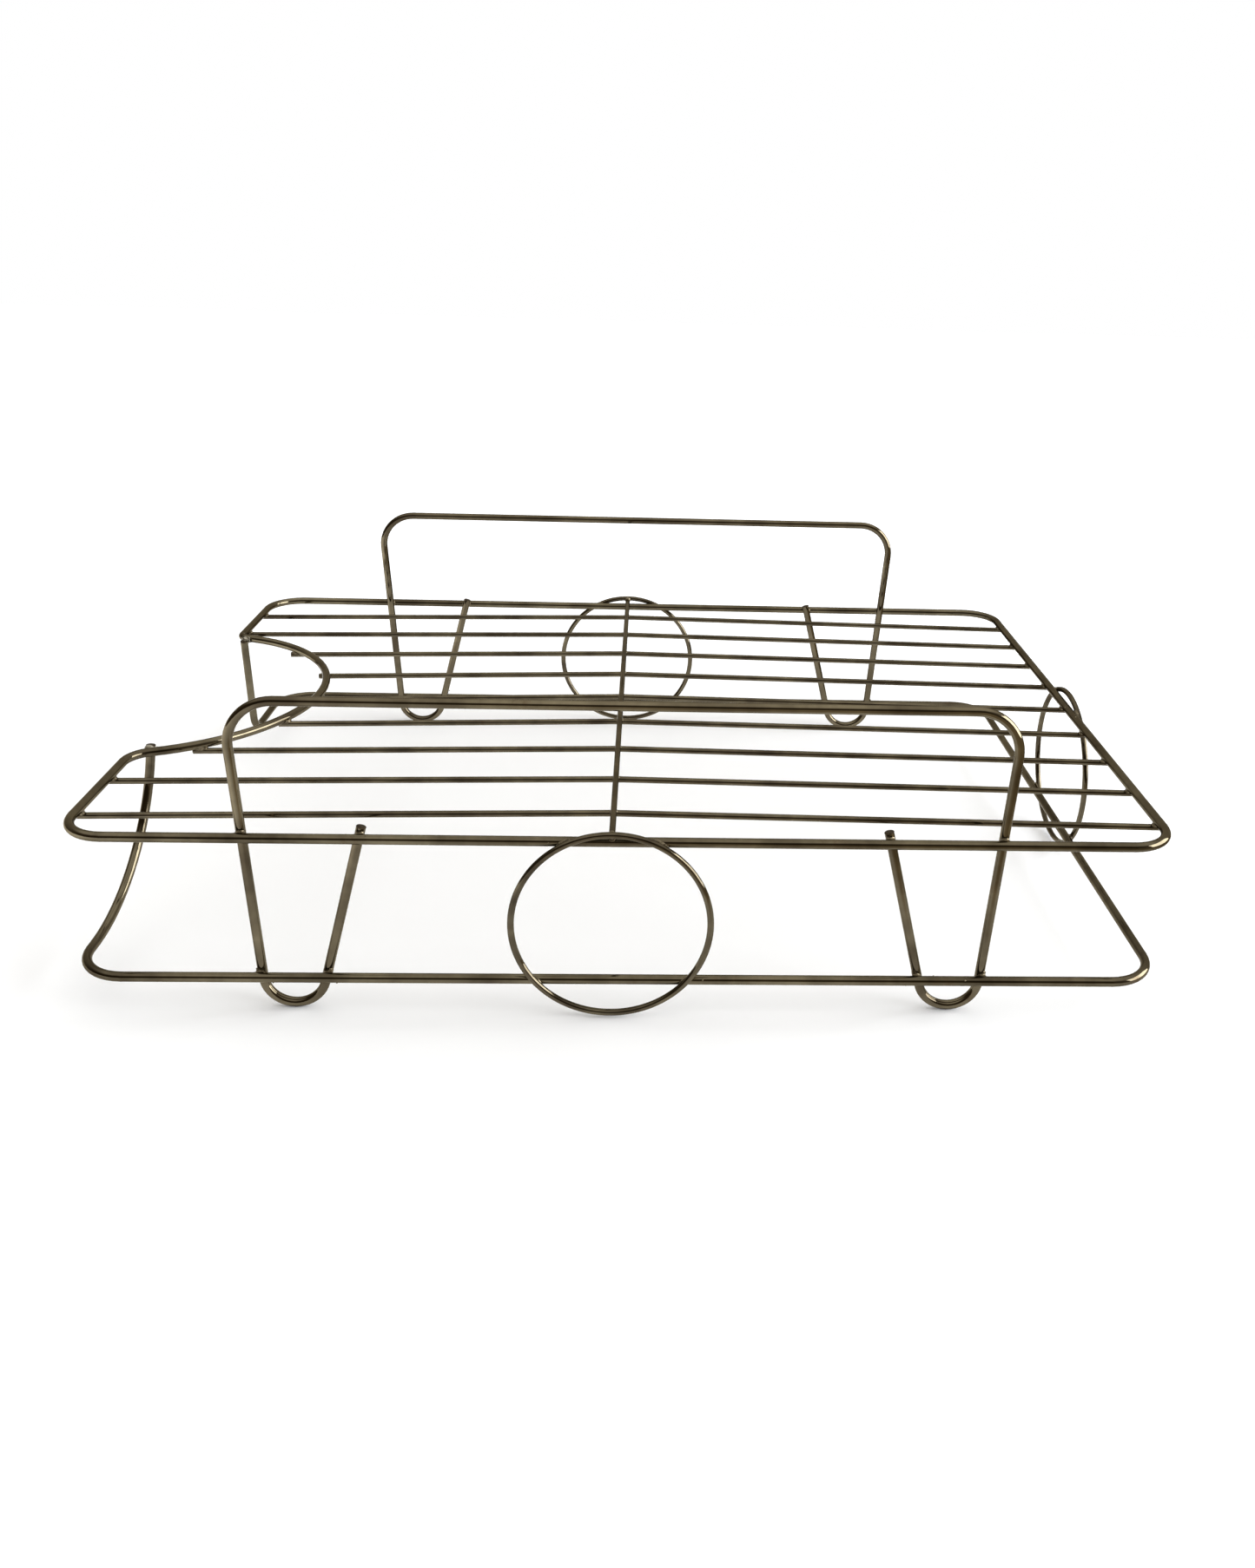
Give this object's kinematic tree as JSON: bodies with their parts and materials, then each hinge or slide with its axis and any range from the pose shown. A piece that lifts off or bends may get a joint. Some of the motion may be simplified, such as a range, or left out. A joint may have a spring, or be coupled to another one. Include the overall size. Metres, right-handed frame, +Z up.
{
  "type": "dish drying rack",
  "caption": "Welded wire dish drying rack: a low deck of parallel wires with a concave bay at one end, ring braces and two arched carrying handles that run down into U-shaped feet.",
  "frame": {"origin": "on the table, under the middle of the deck", "axes": "+X to the right, away from the concave bay; +Y to the back; +Z up"},
  "size_m": [0.4464, 0.3208, 0.1345],
  "materials": {
    "rim_wire": "thick steel wire with old nickel plating, tarnished to olive bronze, half gloss",
    "handle_wire": "thick steel wire with old nickel plating, tarnished to olive bronze, rubbed brighter on the bends",
    "thin_wire": "thin steel wire with old nickel plating, tarnished darker, satin"
  },
  "bodies": {
    "root": {"deck_frame": "rim_wire", "base_frame": "rim_wire", "cross_wire": "thin_wire", "grid_wire_1": "thin_wire", "grid_wire_2": "thin_wire", "grid_wire_3": "thin_wire", "grid_wire_4": "thin_wire", "grid_wire_5": "thin_wire", "grid_wire_6": "thin_wire", "grid_wire_7": "thin_wire", "grid_wire_8": "thin_wire", "grid_wire_9": "thin_wire", "front_handle_wire": "handle_wire", "back_handle_wire": "handle_wire", "front_ring": "thin_wire", "back_ring": "thin_wire", "right_ring": "thin_wire"}
  },
  "joints": []
}
